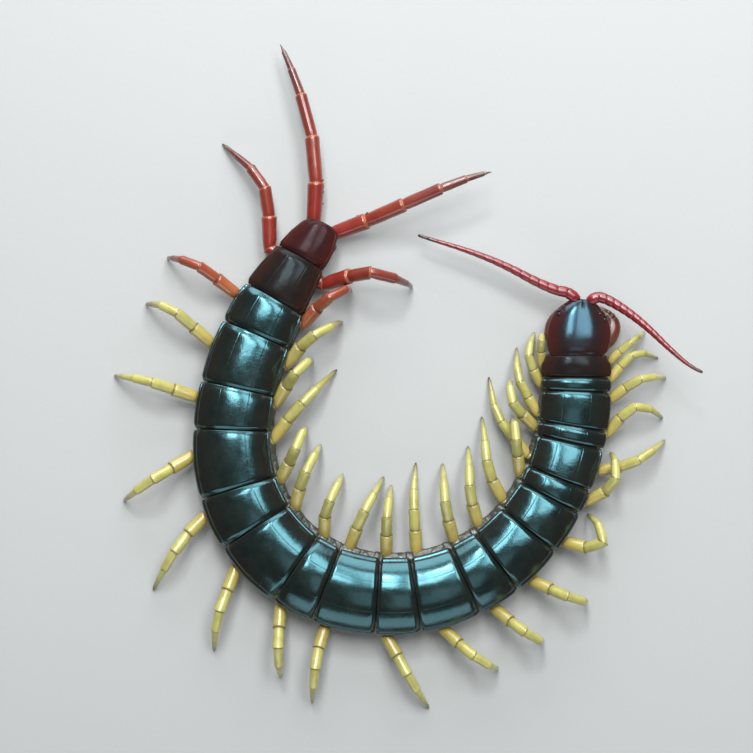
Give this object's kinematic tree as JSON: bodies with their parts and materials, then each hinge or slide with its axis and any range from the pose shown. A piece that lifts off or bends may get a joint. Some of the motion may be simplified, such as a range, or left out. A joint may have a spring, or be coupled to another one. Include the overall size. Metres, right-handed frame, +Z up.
{
  "type": "giant centipede",
  "caption": "Life-size giant centipede curled in a U on the floor, dark glossy body plates, yellow legs, red trailing legs and crimson antennae.",
  "frame": {"origin": "middle of the bounding box on the floor, where the feet stand", "axes": "+Z up, +X towards the right of the picture, on the side of the head, +Y towards the top of the picture, where the head and the tail end point"},
  "size_m": [0.1319, 0.1506, 0.0133],
  "materials": {
    "head_plate": "glossy dark brown with a blue sheen",
    "antenna": "satin crimson",
    "forcipule": "glossy reddish brown with black tips",
    "body_plate": "glossy dark olive green with a teal sheen",
    "tail_plate": "glossy maroon brown",
    "leg_yellow": "glossy yellow with dark joints and claws",
    "leg_orange": "glossy orange red with dark joints and claws",
    "leg_red": "glossy red to maroon with dark tips"
  },
  "bodies": {
    "root": {"head": "head_plate", "antenna_left": "antenna", "antenna_right": "antenna", "forcipule_left": "forcipule", "forcipule_right": "forcipule", "trunk_01_02": "body_plate", "trunk_03_04": "body_plate", "trunk_05_06": "body_plate", "trunk_07_08": "body_plate", "trunk_09_10": "body_plate", "trunk_11_12": "body_plate", "trunk_13_14": "body_plate", "trunk_15_16": "body_plate", "trunk_17_18": "body_plate", "trunk_19_20": "tail_plate", "trunk_21": "tail_plate", "leg_01_left": "leg_yellow", "leg_01_right": "leg_yellow", "leg_02_left": "leg_yellow", "leg_02_right": "leg_yellow", "leg_03_left": "leg_yellow", "leg_03_right": "leg_yellow", "leg_04_left": "leg_yellow", "leg_04_right": "leg_yellow", "leg_05_left": "leg_yellow", "leg_05_right": "leg_yellow", "leg_06_left": "leg_yellow", "leg_06_right": "leg_yellow", "leg_07_left": "leg_yellow", "leg_07_right": "leg_yellow", "leg_08_left": "leg_yellow", "leg_08_right": "leg_yellow", "leg_09_left": "leg_yellow", "leg_09_right": "leg_yellow", "leg_10_left": "leg_yellow", "leg_10_right": "leg_yellow", "leg_11_left": "leg_yellow", "leg_11_right": "leg_yellow", "leg_12_left": "leg_yellow", "leg_12_right": "leg_yellow", "leg_13_left": "leg_yellow", "leg_13_right": "leg_yellow", "leg_14_left": "leg_yellow", "leg_14_right": "leg_yellow", "leg_15_left": "leg_yellow", "leg_15_right": "leg_yellow", "leg_16_left": "leg_yellow", "leg_16_right": "leg_yellow", "leg_17_left": "leg_yellow", "leg_17_right": "leg_yellow", "leg_18_left": "leg_yellow", "leg_18_right": "leg_yellow", "leg_19_left": "leg_orange", "leg_19_right": "leg_orange", "leg_20_left": "leg_red", "leg_20_right": "leg_red", "ultimate_leg_left": "leg_red", "ultimate_leg_right": "leg_red"}
  },
  "joints": []
}
